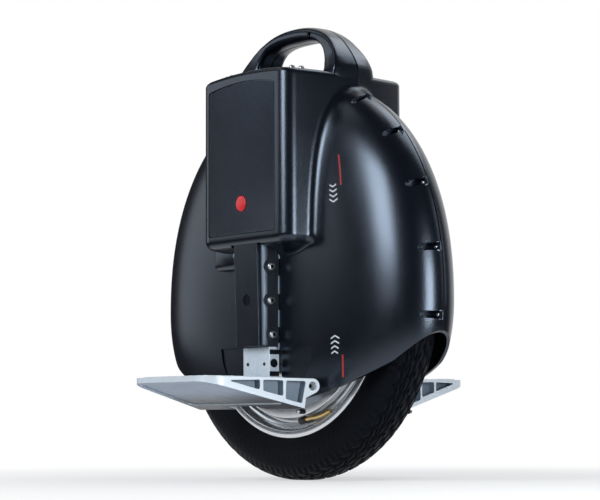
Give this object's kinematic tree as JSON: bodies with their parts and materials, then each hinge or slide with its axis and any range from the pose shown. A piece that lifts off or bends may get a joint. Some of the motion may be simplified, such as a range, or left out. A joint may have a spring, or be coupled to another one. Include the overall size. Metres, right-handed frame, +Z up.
{
  "type": "electric unicycle",
  "caption": "Self-balancing electric unicycle: motor wheel in a rounded case with side boxes, folding pedals and a carry handle",
  "frame": {"origin": "on the ground under the middle of the axle, where the tyre touches", "axes": "+X along the axle to the rider's left, +Y backward along the rolling direction, +Z up"},
  "size_m": [0.38, 0.4598, 0.5115],
  "materials": {
    "shell_plastic": "fine-grained charcoal blue-black moulded plastic",
    "pad_plastic": "textured dark pad",
    "badge_red": "plain red",
    "frame_metal": "dark anodised",
    "bright_aluminium": "bright cast and machined",
    "bolt_steel": "plain steel",
    "steel": "plain steel",
    "stator_metal": "laminations with copper windings",
    "battery_wrap": "shrink wrap",
    "board": "circuit board",
    "tyre": "black rubber with tread",
    "black_rubber": "soft black rubber",
    "brass": "plain brass",
    "black_plastic": "black plastic"
  },
  "bodies": {
    "case": {"shell_left": "shell_plastic", "shell_right": "shell_plastic", "leg_pad_left": "pad_plastic", "leg_pad_right": "pad_plastic", "badge_left": "badge_red", "badge_right": "badge_red", "pedal_frame_left": "frame_metal", "pedal_frame_right": "frame_metal", "column_cover_left": "shell_plastic", "column_cover_right": "shell_plastic", "column_plug_left": "frame_metal", "column_plug_right": "frame_metal", "hinge_block_left": "bright_aluminium", "hinge_block_right": "bright_aluminium", "hinge_pin_left": "bolt_steel", "hinge_pin_right": "bolt_steel", "hinge_shaft_left": "steel", "hinge_shaft_right": "steel", "axle_nut_left": "steel", "axle_nut_right": "steel", "bearing_left": "steel", "bearing_right": "steel", "battery_left": "battery_wrap", "battery_right": "battery_wrap", "frame_bolt_front_1_left": "bolt_steel", "frame_bolt_front_1_right": "bolt_steel", "frame_bolt_front_2_left": "bolt_steel", "frame_bolt_front_2_right": "bolt_steel", "frame_bolt_front_3_left": "bolt_steel", "frame_bolt_front_3_right": "bolt_steel", "frame_bolt_rear_1_left": "bolt_steel", "frame_bolt_rear_1_right": "bolt_steel", "frame_bolt_rear_2_left": "bolt_steel", "frame_bolt_rear_2_right": "bolt_steel", "frame_bolt_rear_3_left": "bolt_steel", "frame_bolt_rear_3_right": "bolt_steel", "axle": "steel", "stator": "stator_metal", "heat_sink": "bright_aluminium", "control_board": "board", "wheel_liner": "black_plastic", "motor_cable": "black_plastic", "power_switch": "black_plastic", "charge_socket": "black_plastic"},
    "wheel": {"tyre": "tyre", "wheel_rim": "bright_aluminium", "inner_tube": "black_rubber", "rotor_ring": "steel", "motor_cover_left": "bright_aluminium", "motor_cover_right": "bright_aluminium", "valve_stem": "brass", "valve_cap": "black_plastic"},
    "left_pedal": {"pedal_left": "bright_aluminium", "pedal_grip_left": "bright_aluminium"},
    "right_pedal": {"pedal_right": "bright_aluminium", "pedal_grip_right": "bright_aluminium"},
    "button": {"power_button": "black_plastic"},
    "socket_cap": {"charge_cap": "black_rubber"}
  },
  "joints": [
    {"name": "wheel_spin", "type": "hinge", "parent": "case", "child": "wheel", "pos_m": [0, 0, 0.20586], "axis": [1, 0, 0], "continuous": true},
    {"name": "left_pedal_fold", "type": "hinge", "parent": "case", "child": "left_pedal", "pos_m": [0.0659, 0, 0.10266], "axis": [0, -1, 0], "range_deg": [0, 58]},
    {"name": "right_pedal_fold", "type": "hinge", "parent": "case", "child": "right_pedal", "pos_m": [-0.0659, 0, 0.10266], "axis": [0, 1, 0], "range_deg": [0, 58]},
    {"name": "power_press", "type": "slide", "parent": "case", "child": "button", "axis": [0, 0, -1], "range_m": [0, 0.002], "stiffness_N_per_m": 400},
    {"name": "socket_cap_open", "type": "hinge", "parent": "case", "child": "socket_cap", "pos_m": [-0.03, 0.0125, 0.45646], "axis": [-1, 0, 0], "range_deg": [0, 110]}
  ]
}
